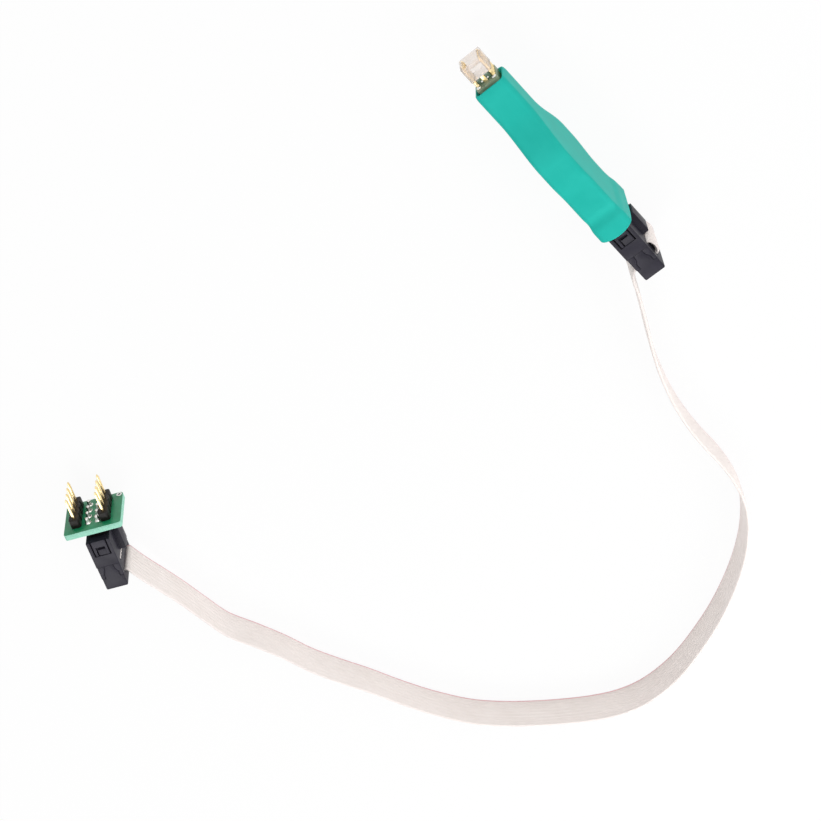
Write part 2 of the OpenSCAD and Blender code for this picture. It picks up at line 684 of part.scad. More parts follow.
module adapter_header_solder() {
    color([0.85, 0.85, 0.85]) on_adapter() translate([0, socket_side, 0]) at_pins() solder_cone(1);
}

module adapter_strip(side) {
    color([0.06, 0.06, 0.07]) on_adapter() translate([0, side * dip_gap / 2, 0]) header_strip(1, strip_h);
}

module adapter_pins(side) {
    taper = 0.8;
    color([0.88, 0.72, 0.38]) on_adapter() at_strip(side) union() {
        square_pin(-adapter_t - 1.2, strip_h + dip_reach - taper, pin_side);
        translate([strip_h + dip_reach - taper, 0, 0]) rotate([0, 90, 0]) rotate([0, 0, 45])
            cylinder(d1 = pin_side * sqrt(2), d2 = pin_side * 0.7, h = taper, $fn = 4);
    }
}

module adapter_strip_solder() {
    color([0.85, 0.85, 0.85]) on_adapter() for (side = [-1, 1]) at_strip(side)
        translate([-adapter_t, 0, 0]) solder_cone(-1);
}

// Ribbon lead: a flat band on edge, swept along its route
function exit_point(side, x) = [x, side * relief_w / 2, 0];
function turned(p, a) = [p[0] * cos(a) - p[1] * sin(a), p[0] * sin(a) + p[1] * cos(a), p[2]];
probe_exit = [socket_top_x, 0, axis_z] + exit_point(1, exit_x);
adapter_exit = adapter_at + turned([socket_mate_x, socket_side, 0] + exit_point(-1, exit_x), adapter_turn);
lead_out = 0.6;
ribbon_path = concat([probe_exit, probe_exit + [0, lead_out, 0]], ribbon_route,
    [adapter_exit + turned([0, -lead_out, 0], adapter_turn), adapter_exit]);

function flat_unit(v) = let (l = norm([v[0], v[1]])) [v[0] / l, v[1] / l];
function path_dir(i) = let (n = len(ribbon_path) - 1)
    i == 0 ? flat_unit(ribbon_path[1] - ribbon_path[0])
    : i == n ? flat_unit(ribbon_path[n] - ribbon_path[n - 1])
    : flat_unit(ribbon_path[i + 1] - ribbon_path[i - 1]);

module ribbon() {
    t = ribbon_t / 2;
    h = ribbon_half;
    lip = 0.25;
    outline = [[t, -h + lip], [t, h - lip], [t - lip, h], [-t + lip, h], [-t, h - lip], [-t, -h + lip],
        [-t + lip, -h], [t - lip, -h]];
    points = [for (i = [0:len(ribbon_path) - 1]) let (d = path_dir(i), p = ribbon_path[i])
        for (q = outline) [p[0] + q[0] * d[1], p[1] - q[0] * d[0], p[2] + q[1]]];
    color([0.9, 0.88, 0.87]) polyhedron(points, stack_faces(len(ribbon_path), len(outline)), convexity = 10);
}

grip_shell_left();
grip_shell_right();
nose_block();
nose_plate();
nose_base();
nose_solder();
contact_barrels();
tail_board();
probe_board();
probe_header();
probe_header_pins();
probe_header_solder();
on_probe() socket_body();  // probe_socket_body
on_probe() socket_contacts();  // probe_socket_contacts
on_probe() socket_cover(-1, 0);  // probe_socket_cover
on_probe() strain_relief();  // probe_strain_relief
on_probe() ribbon_fold(-1, 0, fold_out);  // probe_ribbon_fold
ribbon();
on_adapter_socket() ribbon_fold(1, tight_in, tight_out);  // adapter_ribbon_fold
on_adapter_socket() socket_body();  // adapter_socket_body
on_adapter_socket() socket_contacts();  // adapter_socket_contacts
on_adapter_socket() socket_cover(1, tight_in + seat_gap);  // adapter_socket_cover
on_adapter_socket() strain_relief();  // adapter_strain_relief
adapter_board();
adapter_header();
adapter_header_pins();
adapter_header_solder();
adapter_strip(1);  // adapter_strip_left
adapter_strip(-1);  // adapter_strip_right
adapter_pins(1);  // adapter_pins_left
adapter_pins(-1);  // adapter_pins_right
adapter_strip_solder();
for (i = [0:contacts - 1]) plunger(i);
for (i = [0:contacts - 1]) plunger_spring(i);
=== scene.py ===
import bpy
import bmesh
import math
import numpy as np
from mathutils import Matrix, Vector


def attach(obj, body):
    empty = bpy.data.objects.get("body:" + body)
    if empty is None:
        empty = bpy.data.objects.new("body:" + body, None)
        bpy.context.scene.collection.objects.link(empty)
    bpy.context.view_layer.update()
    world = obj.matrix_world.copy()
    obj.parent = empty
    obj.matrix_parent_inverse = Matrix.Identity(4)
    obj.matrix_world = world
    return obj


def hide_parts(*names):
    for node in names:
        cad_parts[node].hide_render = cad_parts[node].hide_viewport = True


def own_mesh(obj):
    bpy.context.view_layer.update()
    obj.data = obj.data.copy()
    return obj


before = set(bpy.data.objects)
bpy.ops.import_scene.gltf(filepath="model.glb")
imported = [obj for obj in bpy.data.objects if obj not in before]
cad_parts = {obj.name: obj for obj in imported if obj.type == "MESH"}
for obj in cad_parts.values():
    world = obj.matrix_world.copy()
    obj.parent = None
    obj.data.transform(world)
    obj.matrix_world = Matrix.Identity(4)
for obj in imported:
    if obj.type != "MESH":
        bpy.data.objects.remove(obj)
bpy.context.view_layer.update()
mm = 0.001
handleZ = 9.4  # height of the handle's middle line above the table, in mm
mergeWithin = 1e-7  # points of a new piece closer than this, in metres, are one
scene = bpy.context.scene
scene.view_settings.view_transform = "Standard"
print("frame loaded:", len(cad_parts), "nodes")

# camera: where the photograph was taken from, in mm, with its right, down and forward directions
cameraSettings = {
    "place": (213.2, -99.95, 459.5),
    "right": (-0.6431, -0.7636, 0.0579),
    "down": (-0.6200, 0.5635, 0.5459),
    "forward": (-0.4495, 0.3151, -0.8359),
    "focalPixels": 2200.0,
    "framePixels": 821.0,
    "sensor": 36.0,
    "clipFrom": 0.01,
}


def makeCamera(opt):
    # the lens is to the sensor as the focal length in pixels is to the frame
    data = bpy.data.cameras.new("camera")
    data.sensor_width = opt["sensor"]
    data.lens = opt["sensor"] * opt["focalPixels"] / opt["framePixels"]
    data.clip_start = opt["clipFrom"]
    cam = bpy.data.objects.new("camera", data)
    axes = np.array([opt["right"], np.negative(opt["down"]), np.negative(opt["forward"])]).T
    turn = Matrix(axes.tolist()).to_quaternion()
    cam.matrix_world = Matrix.LocRotScale(Vector(opt["place"]) * mm, turn, None)
    scene.collection.objects.link(cam)
    scene.camera = cam


makeCamera(cameraSettings)
print("camera placed")


def plug(tree, slot, value):
    # a wire is linked to the slot, a plain value is set on it
    if isinstance(value, Wire):
        tree.links.new(value.socket, slot)
    else:
        slot.default_value = value


class Wire:
    # a socket of a shader tree: arithmetic on it adds Math nodes
    def __init__(self, tree, socket):
        self.tree = tree
        self.socket = socket

    def math(self, operation, *values):
        node = self.tree.nodes.new("ShaderNodeMath")
        node.operation = operation
        for slot, value in zip(node.inputs, values):
            plug(self.tree, slot, value)
        return Wire(self.tree, node.outputs[0])

    def __add__(self, other):
        return self.math("ADD", self, other)

    def __radd__(self, other):
        return self.math("ADD", other, self)

    def __mul__(self, other):
        return self.math("MULTIPLY", self, other)

    def __rmul__(self, other):
        return self.math("MULTIPLY", other, self)

    def __lt__(self, other):
        return self.math("LESS_THAN", self, other)


class Shading:
    # a shader tree: add() makes any node from its type, settings and socket values
    def __init__(self, tree):
        self.tree = tree

    def add(self, kind, settings=None, output=0, **sockets):
        node = self.tree.nodes.new("ShaderNode" + kind)
        for key, value in (settings or {}).items():
            if key == "stops":
                for stop, (place, colour) in zip(node.color_ramp.elements, value):
                    stop.position = place
                    stop.color = (*colour, 1.0)
            else:
                setattr(node, key, value)
        for key, value in sockets.items():
            plug(self.tree, node.inputs[key.replace("_", " ")], value)
        return Wire(self.tree, node.outputs[output])

    def seen(self):
        # 1 for rays from the camera, a gloss or a clear body, which show the background as it is
        wire = self.add("LightPath", output="Is Camera Ray")
        for kind in ("Is Glossy Ray", "Is Transmission Ray"):
            wire = wire.math("MAXIMUM", wire, self.add("LightPath", output=kind))
        return wire


class Finish(Shading):
    # one material: set() feeds its main shader
    def __init__(self, name):
        self.material = bpy.data.materials.new(name)
        self.material.use_nodes = True
        super().__init__(self.material.node_tree)
        self.shader = self.tree.nodes["Principled BSDF"]

    def set(self, **sockets):
        for key, value in sockets.items():
            plug(self.tree, self.shader.inputs[key.replace("_", " ")], value)
        return self

    def place(self):
        return self.add("TexCoord", output="Object")

    def noise(self, grain, detail=3.0, rough=0.55):
        # noise of a given grain in mm, 0 to 1, read in Object coordinates
        scale = 1.0 / (grain * mm)
        return self.add("TexNoise", Vector=self.place(), Scale=scale, Detail=detail, Roughness=rough)

    def shade(self, factor, dark, light):
        # colour between two shades by a 0 to 1 wire
        stops = [(0.25, linear(dark)), (0.75, linear(light))]
        return self.add("ValToRGB", {"stops": stops}, Fac=factor)

    def bump(self, height, depth, strength):
        # bump of a height in mm, feeding the shader's normal
        return self.set(Normal=self.add("Bump", Height=height, Distance=depth * mm, Strength=strength))


def linear(code):
    # colour code such as 2fbdb0 to linear light, by the screen's own curve
    values = [int(code[i:i + 2], 16) / 255 for i in (0, 2, 4)]
    return tuple(v / 12.92 if v <= 0.04045 else ((v + 0.055) / 1.055) ** 2.4 for v in values)


def tealPlastic():
    # moulded grip plastic: slow drifts of tone, a fine grain and hardly any gloss
    f = Finish("tealPlastic")
    tone = f.noise(7.0, 2.0)
    grain = f.noise(0.16, 2.0)
    f.set(Base_Color=f.shade(tone, "27b9ab", "30c2b4"), Roughness=0.3 + tone * 0.1)
    f.set(IOR=1.48, Specular_IOR_Level=0.02)
    return f.bump(grain, 0.005, 0.4).material


def clearPlastic():
    # milky clear resin: most light passes, scattered by a fine haze
    f = Finish("clearPlastic")
    smear = f.noise(1.6)
    f.set(Base_Color=(*linear("fdf7f3"), 1), Roughness=0.2 + smear * 0.1)
    f.set(Transmission_Weight=0.75, IOR=1.14, Specular_IOR_Level=0.5)
    return f.bump(smear, 0.006, 0.2).material


def blackPlastic(name, dark, light):
    # glass-filled plastic: dark, half matt, with a fine grain
    f = Finish(name)
    tone = f.noise(2.4)
    grain = f.noise(0.12, 2.0)
    f.set(Base_Color=f.shade(tone, dark, light), Roughness=0.36 + tone * 0.12)
    f.set(Specular_IOR_Level=0.18)
    return f.bump(grain, 0.008, 0.5).material


def goldPlate():
    # thin gold on brass, a little uneven
    f = Finish("goldPlate")
    tone = f.noise(0.8)
    f.set(Base_Color=f.shade(tone, "ebce90", "f8e6b8"), Roughness=0.26 + tone * 0.1, Metallic=1.0)
    return f.bump(f.noise(0.09, 2.0), 0.004, 0.5).material


def brightSolder():
    # solder as it set, slightly rippled
    f = Finish("brightSolder")
    tone = f.noise(0.5)
    f.set(Base_Color=f.shade(tone, "cdcdca", "f2f2ee"), Roughness=0.2 + tone * 0.2, Metallic=1.0)
    return f.bump(tone, 0.02, 0.5).material


def springSteel():
    # drawn wire
    f = Finish("springSteel")
    tone = f.noise(0.3, 2.0)
    f.set(Base_Color=f.shade(tone, "8f9092", "b4b5b8"), Roughness=0.24 + tone * 0.12, Metallic=1.0)
    return f.material


def boardMask(name, dark, light):
    # solder mask: the weave of the glass cloth shows faintly as two crossed waves
    f = Finish(name)
    tone = f.noise(3.0)
    wave = {"Vector": f.place(), "Scale": 700.0, "Distortion": 0.4}
    weave = f.add("TexWave", {"bands_direction": "Y"}, output="Fac", **wave)
    cross = f.add("TexWave", {"bands_direction": "Z"}, output="Fac", **wave)
    f.set(Base_Color=f.shade(tone, dark, light), Roughness=0.3 + tone * 0.12)
    f.set(Coat_Weight=0.15, Coat_Roughness=0.15)
    return f.bump(weave * cross, 0.006, 0.4).material


def bareLaminate(name, dark, light):
    # a rough, unevenly toned layer: the cut glass cloth of a board, or dried glue
    f = Finish(name)
    tone = f.noise(0.35, 4.0)
    f.set(Base_Color=f.shade(tone, dark, light), Roughness=0.6 + tone * 0.2)
    return f.bump(tone, 0.02, 0.6).material


def ribbonVinyl():
    # white vinyl with a red outer way; across runs 0 to 1 from the table edge to the top edge
    f = Finish("ribbonVinyl")
    across = f.add("Attribute", {"attribute_name": "across"}, output="Fac")
    tone = f.noise(6.0)
    pale = f.shade(tone, "f4eae5", "faf1ed")
    red = f.shade(f.noise(1.1, 2.0), "ecb9be", "f3d0d1")
    stripe = across < ribbonSettings["stripe"]
    f.set(Base_Color=f.add("Mix", {"data_type": "RGBA"}, output=2, Factor=stripe, A=pale, B=red))
    f.set(Roughness=0.38 + tone * 0.14)
    return f.material


# ribbon: route of its middle line on the table in mm, repeated from the model, and its ribbed section
ribbonSettings = {
    "route": [
        (-33, 5.2, 9.4), (-35, 6.1, 9.3), (-38.5, 7.4, 9.1), (-42, 9, 8.8), (-46, 10.8, 8.4),
        (-52, 13.6, 7.6), (-58, 16.2, 6.8), (-65, 18.6, 6), (-72.5, 20.6, 5.4), (-80, 21.8, 5.1),
        (-87, 22.2, 5.1), (-93.5, 22.2, 5.1), (-100, 22.8, 5.1), (-106, 24.2, 5.1), (-111.5, 26.6, 5.1),
        (-117, 30.4, 5.1), (-122, 35, 5.1), (-127, 40.8, 5.1), (-131.5, 47.2, 5.1), (-135.5, 54, 5.1),
        (-139, 61.5, 5.1), (-142, 69.5, 5.1), (-143.5, 77, 5.1), (-143.6, 84, 5.1), (-142, 90.5, 5.1),
        (-139, 96.5, 5.1), (-135, 102.5, 5.1), (-130, 109, 5.1), (-124, 115.8, 5.1), (-117, 122, 5.1),
        (-108, 127.4, 5.1), (-99, 131.6, 5.1), (-90, 135.2, 5.1), (-82, 138.8, 5.1), (-74, 142, 5.1),
        (-66, 144.2, 5.1), (-58, 147, 5.1), (-50, 150, 5.2), (-42, 150.8, 5.4), (-34, 151.2, 5.9),
        (-27, 151.7, 6.6), (-21.5, 152.1, 7.3), (-17.8, 152.3, 7.6)],
    "ways": 8,
    "wayPitch": 1.27,
    "thick": 0.9,
    "web": 0.64,
    "foldWeb": 0.24,  # ribs stand out more where the ribbon is bent
    "edgeShare": 0.3,  # half thickness at the outer edges, as a share of the web
    "leadOut": 0.6,
    "stripe": 0.07,
    "pointsPerWay": 8,
    "pointsPerStretch": 24,
    "ringStep": 0.8,
    "bendPoints": 36,
    "flatPoints": 14,
}
# sockets: each one's frame has its mating face at x = 0 with the contacts along z, as in the model
socketSettings = {
    "bodyHeight": 7.9,
    "coverHeight": 2.9,
    "coverWidth": 5.9,
    "reliefWidth": 5.7,
    "looseFold": (0.0, 1.4),  # how deep the bend starts inside the cover's face, and how far it stands out
    "tightFold": (0.9, 0.3),
    "probeMate": (-19.15, 0.0, handleZ),
    "adapterPlace": (0.5, 149.4, 7.5),
    "adapterTurn": -24.5,
    "adapterMate": (-3.7, -0.4, 0.0),
}


def turned(points, degrees):
    # turn about the upright axis
    a = math.radians(degrees)
    turn = np.array([[math.cos(a), math.sin(a), 0], [-math.sin(a), math.cos(a), 0], [0, 0, 1]])
    return np.asarray(points, float) @ turn


def onProbe(points):
    # from the probe socket's frame to the part's: a shift
    return np.asarray(points, float) + socketSettings["probeMate"]


def onAdapter(points):
    # from the adapter board's frame to the part's: a turn and a shift
    return turned(points, socketSettings["adapterTurn"]) + socketSettings["adapterPlace"]


def onAdapterSocket(points):
    # from the adapter socket's frame to the part's: a shift on the board first
    return onAdapter(np.asarray(points, float) + socketSettings["adapterMate"])


def smoothPath(points, opt):
    # cubic through the points, each stretch bending by its neighbours' chord, then spaced evenly by length
    p = np.asarray(points, float)
    p = np.vstack([2 * p[0] - p[1], p, 2 * p[-1] - p[-2]])
    t = np.linspace(0, 1, opt["pointsPerStretch"], endpoint=False)[:, None, None]
    a, b, c, d = p[:-3], p[1:-2], p[2:-1], p[3:]
    bend = (2 * a - 5 * b + 4 * c - d) * t ** 2 + (3 * b - a - 3 * c + d) * t ** 3
    fine = 0.5 * (2 * b + (c - a) * t + bend)
    fine = np.vstack([fine.transpose(1, 0, 2).reshape(-1, 3), p[-2:-1]])
    run = np.concatenate([[0], np.cumsum(np.linalg.norm(np.diff(fine, axis=0), axis=1))])
    even = np.linspace(0, run[-1], int(run[-1] / opt["ringStep"]))
    return np.stack([np.interp(even, run, fine[:, k]) for k in range(3)], axis=1)


def makeMesh(name, points, faces, *materials):
    # points in mm, faces as lists of point numbers
    mesh = bpy.data.meshes.new(name)
    mesh.from_pydata((np.asarray(points) * mm).tolist(), [], faces)
    mesh.update()
    return makePiece(name, mesh, *materials)


def makePiece(name, mesh, *materials):
    # a smooth-shaded object at the origin with its materials in order
    mesh.polygons.foreach_set("use_smooth", np.ones(len(mesh.polygons), bool))
    for material in materials:
        mesh.materials.append(material)
    piece = bpy.data.objects.new(name, mesh)
    scene.collection.objects.link(piece)
    return piece


def gridFaces(rows, columns, closeRows=False, closeColumns=True):
    # four-sided faces of a rows by columns grid of points
    r = np.arange(rows if closeRows else rows - 1)
    c = np.arange(columns if closeColumns else columns - 1)
    r, c = np.meshgrid(r, c, indexing="ij")
    rn, cn = (r + 1) % rows, (c + 1) % columns
    quads = np.stack([r * columns + c, r * columns + cn, rn * columns + cn, rn * columns + c], axis=-1)
    return quads.reshape(-1, 4).tolist()


def endFaces(rows, columns):
    # one face over the first ring and one over the last
    return [list(range(columns))[::-1], list(range((rows - 1) * columns, rows * columns))]


def orient(piece, sharp=None):
    # all faces of a closed piece point outwards; edges steeper than the sharp angle shade as edges
    work = bmesh.new()
    work.from_mesh(piece.data)
    bmesh.ops.remove_doubles(work, verts=work.verts, dist=mergeWithin)
    bmesh.ops.triangulate(work, faces=[f for f in work.faces if len(f.verts) > 4])
    bmesh.ops.recalc_face_normals(work, faces=work.faces)
    work.to_mesh(piece.data)
    work.free()
    if sharp:
        piece.data.set_sharp_from_angle(angle=math.radians(sharp))
    return piece


def settle(piece, body, finish, *nodes):
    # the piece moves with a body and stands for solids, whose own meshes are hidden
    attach(piece, body)
    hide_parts(*nodes)
    return piece


def lathe(profile, sides):
    # pairs of place and radius turned about the x axis; the ends lie on the axis or the profile is a loop
    x, r = np.asarray(profile, float).T
    a = np.linspace(0, 2 * math.pi, sides, endpoint=False)
    y, z = r[:, None] * np.cos(a), r[:, None] * np.sin(a)
    points = np.stack([np.repeat(x[:, None], sides, 1), y, z], axis=-1)
    return points.reshape(-1, 3), gridFaces(len(x), sides)


def boxShape(low, high):
    # the eight corners and six faces of a box
    low, high = np.asarray(low, float), np.asarray(high, float)
    pick = np.array([[i >> 2 & 1, i >> 1 & 1, i & 1] for i in range(8)])
    faces = [[0, 1, 3, 2], [4, 6, 7, 5], [0, 4, 5, 1], [2, 3, 7, 6], [0, 2, 6, 4], [1, 5, 7, 3]]
    return np.where(pick, high, low), faces


def copies(shape, places):
    # the same shape at each place, as one list of points and faces
    points, faces = shape
    places = np.asarray(places, float)
    joined = (points[None] + places[:, None]).reshape(-1, 3)
    return joined, [[i + k * len(points) for i in f] for k in range(len(places)) for f in faces]


def together(*shapes):
    # several shapes as one list of points and faces
    points, faces, count = [], [], 0
    for part, rows in shapes:
        points.append(part)
        faces += [[i + count for i in f] for f in rows]
        count += len(part)
    return np.vstack(points), faces


def ribbonSection(opt):
    # thickness rises over each way as a cosine wave above a thin web, drawn once round both faces
    half = opt["ways"] * opt["wayPitch"] / 2
    z = np.linspace(-half, half, opt["ways"] * opt["pointsPerWay"] + 1)
    along = ((z + half) / opt["wayPitch"]) % 1.0 * 2 - 1
    lobe = 0.5 + 0.5 * np.cos(math.pi * along)
    t = opt["web"] / 2 + (opt["thick"] - opt["web"]) / 2 * lobe
    t[[0, -1]] = opt["web"] * opt["edgeShare"]
    side = np.concatenate([t, -t[::-1]])
    height = np.concatenate([z, z[::-1]])
    return side, height, height / (2 * half) + 0.5


def sweepRibbon(name, path, material, opt):
    # the section is carried along the path, its thickness across the path and its width upright
    side, height, across = ribbonSection(opt)
    ahead = np.gradient(path[:, :2], axis=0)
    ahead /= np.linalg.norm(ahead, axis=1)[:, None]
    normal = np.stack([ahead[:, 1], -ahead[:, 0], np.zeros(len(path))], axis=1)
    rings = path[:, None, :] + normal[:, None, :] * side[None, :, None]
    rings[:, :, 2] += height[None, :]
    rows, columns = rings.shape[:2]
    faces = gridFaces(rows, columns) + endFaces(rows, columns)
    piece = makeMesh(name, rings.reshape(-1, 3), faces, material)
    mark = piece.data.attributes.new("across", "FLOAT", "POINT")
    mark.data.foreach_set("value", np.tile(across, rows).astype(np.float32))
    return orient(piece)


def reliefX(opt, sock):
    # behind body, cover and the first layer of ribbon lies the middle of the second layer
    return -(sock["bodyHeight"] + sock["coverHeight"] + opt["thick"] * 1.5)


def makeRibbon(opt, sock, material):
    # the lead on the table, from the first socket's side to the second one's
    exitX = reliefX(opt, sock)
    side = sock["reliefWidth"] / 2
    out = onProbe([(exitX, side, 0), (exitX, side + opt["leadOut"], 0)])
    back = onAdapterSocket([(exitX, -side - opt["leadOut"], 0), (exitX, -side, 0)])
    path = smoothPath(np.vstack([out, opt["route"], back]), opt)
    return settle(sweepRibbon("ribbon_lead", path, material, opt), "lead", "ribbon_vinyl", "ribbon"), path


def foldPath(opt, sock, side, fold):
    # through the crimp, round half an ellipse beside the cover and back under the strain relief
    top, low = -sock["bodyHeight"] - opt["thick"] / 2, reliefX(opt, sock)
    edge = sock["coverWidth"] / 2 - fold[0]
    out = sum(fold) - opt["thick"] / 2
    a = np.linspace(math.pi / 2, -math.pi / 2, opt["bendPoints"])
    bend = np.stack([(top + low) / 2 + (top - low) / 2 * np.sin(a), side * (edge + out * np.cos(a))], axis=1)
    inward = np.linspace(-side * sock["coverWidth"] / 2, side * edge, opt["flatPoints"])
    outward = np.linspace(side * edge, -side * sock["reliefWidth"] / 2, opt["flatPoints"])
    crimp = np.stack([np.full(len(inward), top), inward], axis=1)
    under = np.stack([np.full(len(outward), low), outward], axis=1)
    flat = np.vstack([crimp[:-1], bend, under[1:]])
    return np.column_stack([flat, np.zeros(len(flat))])


finishes = {
    "teal_plastic": tealPlastic(),
    "clear_plastic": clearPlastic(),
    "green_board": boardMask("greenMask", "0b7549", "1a9062"),
    "olive_board": boardMask("oliveMask", "60745a", "93a284"),
    "solder": brightSolder(),
    "gold": goldPlate(),
    "spring_steel": springSteel(),
    "black_plastic": blackPlastic("socketBlack", "24222b", "2e2c37"),
    "ribbon_vinyl": ribbonVinyl(),
}
cutEdge = bareLaminate("cutEdge", "86cbb1", "aee6d1")
glueFilm = bareLaminate("glueFilm", "efeae2", "faf6ef")
stripBlack = blackPlastic("stripBlack", "151210", "1f1b18")
print("finishes mixed:", len(finishes))

ribbon, ribbonPath = makeRibbon(ribbonSettings, socketSettings, finishes["ribbon_vinyl"])
folds = {
    "probeFold": ("probe_ribbon_fold", -1, "looseFold", onProbe),
    "adapterFold": ("adapter_ribbon_fold", 1, "tightFold", onAdapterSocket),
}
deepRibs = {**ribbonSettings, "web": ribbonSettings["foldWeb"]}
for name, (node, side, fold, place) in folds.items():
    line = place(foldPath(ribbonSettings, socketSettings, side, socketSettings[fold]))
    settle(sweepRibbon(name, line, finishes["ribbon_vinyl"], deepRibs), "lead", "ribbon_vinyl", node)
print("ribbon and folds laid")

# grip: lines of (distance from the nose rim, value) as in the model, with a shallower groove near the rear
gripSettings = {
    "noseX": 26.75,
    "length": 45.7,
    "width": 8.2,
    "wall": 0.9,
    "front": [(0, 5.5), (8.6, 5.5), (22, 9.3), (26, 9.4), (32.5, 8.55), (38, 8.55), (40.2, 8.1),
              (42.2, 8.55), (45.7, 8.55)],
    "back": [(0, 3.5), (11.4, 3.5), (24, 9.4), (27.4, 9.4), (35, 7.5), (38, 7.5), (42.5, 8.55),
             (44.9, 9.1), (45.7, 9.1)],
    "round": [(0, 1.5), (8.6, 1.5), (22, 1.1), (45.7, 1.1)],
    "leastRound": 0.3,
    "noseSlant": 0.7,
    "neck": 8.6,
    "noseEdge": 0.2,
    "noseLip": 0.35,
    "lipRun": 1.4,
    "bead": [(0, 0), (40.5, 0), (43, 0.3), (45.7, 0.3)],
    "rearHalf": 8.55,
    "swell": 1.9,
    "swellRun": 6.0,
    "swellLoss": 0.5,  # share of the swell that is lost at the side, and again at the front
    "rows": 190,
    "flatPoints": 9,
    "turnPoints": 12,
    "rim": 0.2,
    "rimPoints": 5,
    "seam": 0.002,
    "sharp": 32,
    "posts": [(3.75, 7.1), (3.75, -7.1), (-14.7, -6.7)],
    "post": 1.3,
    "postFace": 0.02,
    "postSink": 0.2,  # posts and pads reach this far into the wall
    "postSides": 32,
    "pin": 0.65,
    "pinLong": 2.0,
    "pinTip": (0.15, 0.5),
    "pinSides": 24,
    "holeGap": 0.05,
    "holeSpare": 0.2,
    "padsX": (-6.95, 8.75),
    "padsZ": (-2.6, 2.6),
    "padSize": 2.0,
    "padReach": 0.55,
}


def eased(line, s):
    # a smooth step between neighbouring pairs, level at each pair
    stations, values = np.asarray(line, float).T
    i = np.clip(np.searchsorted(stations, s, side="right") - 1, 0, len(stations) - 2)
    t = np.clip((s - stations[i]) / (stations[i + 1] - stations[i]), 0, 1)
    return values[i] + (values[i + 1] - values[i]) * t * t * (3 - 2 * t)


def gripRows(opt):
    # down the outside, over the rear rim, up the inside and over the nose rim: distance and share of the wall
    q, wall, length = opt["rim"], opt["wall"], opt["length"]
    a = np.linspace(0, math.pi / 2, opt["rimPoints"])
    up, over = q * np.sin(a), q * np.cos(a)
    outside = np.linspace(q, length - q, opt["rows"])
    inside = np.linspace(length - q, q, opt["rows"] // 2)
    s = [outside[:-1], length - q + up, length - q + over, inside[1:-1], q - up, (q - over)[:-1]]
    inset = [np.zeros(len(outside) - 1), q - over, wall - q + up, np.full(len(inside) - 2, wall),
             wall - q + over, (q - up)[:-1]]
    return np.concatenate(s), np.concatenate(inset) / wall


def gripSurface(opt):
    # half of a rounded rectangle at each row, from the front seam round the side to the back seam;
    # the wall thins to a lip at the nose, which leans forward, and the outside carries a bead at the rear
    s, share = gripRows(opt)
    lip = (1 - np.clip(s / opt["lipRun"], 0, 1)) ** 2
    outer = opt["noseEdge"] * lip - eased(opt["bead"], s)
    inner = opt["wall"] + (opt["noseEdge"] + opt["noseLip"] - opt["wall"]) * lip
    inset = outer + (inner - outer) * share
    half = (opt["width"] / 2 - inset)[:, None]
    front = (eased(opt["front"], s) - inset)[:, None]
    back = (eased(opt["back"], s) - inset)[:, None]
    r = np.maximum(eased(opt["round"], s) - inset, opt["leastRound"])[:, None]
    flat = np.linspace(0, 1, opt["flatPoints"])[None, :]
    turn = np.linspace(0, math.pi / 2, opt["turnPoints"])[None, 1:]
    level = np.zeros_like(flat)
    y = np.concatenate([(half - r) * flat, half - r + r * np.sin(turn), half + level[:, 1:],
                        half - r + r * np.cos(turn), ((half - r) * (1 - flat))[:, 1:]], axis=1)
    z = np.concatenate([front + level, front - r + r * np.cos(turn),
                        (front - r + (2 * r - front - back) * flat)[:, 1:],
                        r - back - r * np.sin(turn), (level - back)[:, 1:]], axis=1)
    y = np.maximum(y, opt["seam"])
    t = np.clip((s - opt["length"] + opt["swellRun"]) / opt["swellRun"], 0, 1)[:, None]
    sideways, frontways = 2 * y / opt["width"], np.maximum(z, 0) / opt["rearHalf"]
    bulge = opt["swell"] * t * t * (3 - 2 * t) * (1 - opt["swellLoss"] * (sideways ** 2 + frontways ** 2))
    lean = opt["noseSlant"] * z / opt["front"][0][1] * np.clip(1 - s / opt["neck"], 0, 1)[:, None]
    points = np.stack([opt["noseX"] - s[:, None] + lean - bulge, y, handleZ + z], axis=-1)
    rows, columns = y.shape
    faces = gridFaces(rows, columns, closeRows=True, closeColumns=False)
    seams = [[k * columns for k in range(rows)], [k * columns + columns - 1 for k in range(rows)]]
    return points.reshape(-1, 3), faces + seams


def gripInside(opt, side):
    # posts that line the shells up, with a pin on one side and a hole on the other, and pads for the board
    deep = opt["width"] / 2 - opt["wall"] + opt["postSink"]
    near, wide, pin, reach = opt["postFace"], opt["post"], opt["pin"], opt["pinLong"]
    taper, tip = opt["pinTip"]
    hole, floor = pin + opt["holeGap"], reach + opt["holeSpare"]
    solidPost = [(near, 0), (near, wide), (deep, wide), (deep, 0)]
    pinShape = [(-reach, 0), (-reach, tip), (taper - reach, pin), (near, pin), (near, 0)]
    cup = [(near, hole), (near, wide), (deep, wide), (deep, 0), (floor, 0), (floor, hole), (near, hole)]
    if side > 0:
        shapes = [lathe(solidPost, opt["postSides"]), lathe(pinShape, opt["pinSides"])]
    else:
        shapes = [lathe(cup, opt["postSides"])]
    places = [(x, 0, handleZ + z) for x, z in opt["posts"]]
    posts = [copies((points[:, [1, 0, 2]], faces), places) for points, faces in shapes]
    pad = opt["padSize"] / 2
    low, high = np.array([-pad, opt["padReach"], handleZ - pad]), np.array([pad, deep, handleZ + pad])
    pads = [boxShape(low + (x, 0, z), high + (x, 0, z)) for x in opt["padsX"] for z in opt["padsZ"]]
    return together(*posts, *pads)


def makeGrip(opt, name, node, side):
    # one shell: the surface and its inner posts, mirrored in the middle plane where side is -1
    points, faces = together(gripSurface(opt), gripInside(opt, side))
    points[:, 1] *= side
    piece = makeMesh(name, points, faces, finishes["teal_plastic"])
    return settle(orient(piece, opt["sharp"]), "probe", "teal_plastic", node)


